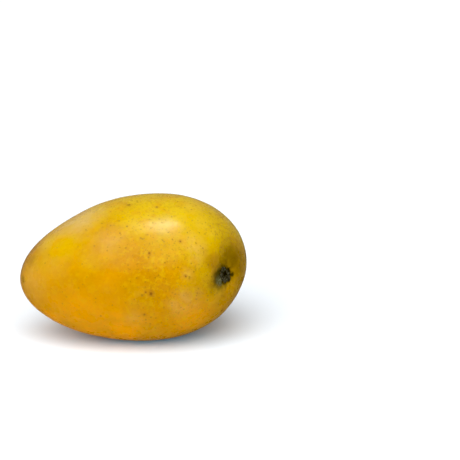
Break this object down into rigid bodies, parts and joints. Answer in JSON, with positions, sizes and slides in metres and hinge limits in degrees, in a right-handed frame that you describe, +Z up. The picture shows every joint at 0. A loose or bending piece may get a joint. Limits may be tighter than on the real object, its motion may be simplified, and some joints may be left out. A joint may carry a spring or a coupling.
{
  "type": "mango",
  "caption": "Ripe yellow mango, a broad oblique egg shape with a sunken stem scar near its full end, lying on its flatter cheek on a small flat spot.",
  "frame": {"origin": "on the table, under the middle of the fruit's box", "axes": "+X along the fruit from its slim apex to its full stem end, -Y to the ventral side that carries the stem scar, +Z up through the upper cheek"},
  "size_m": [0.12, 0.0888, 0.0764],
  "materials": {
    "mango_skin": "satin"
  },
  "bodies": {
    "root": {"mango_fruit": "mango_skin"}
  },
  "joints": []
}
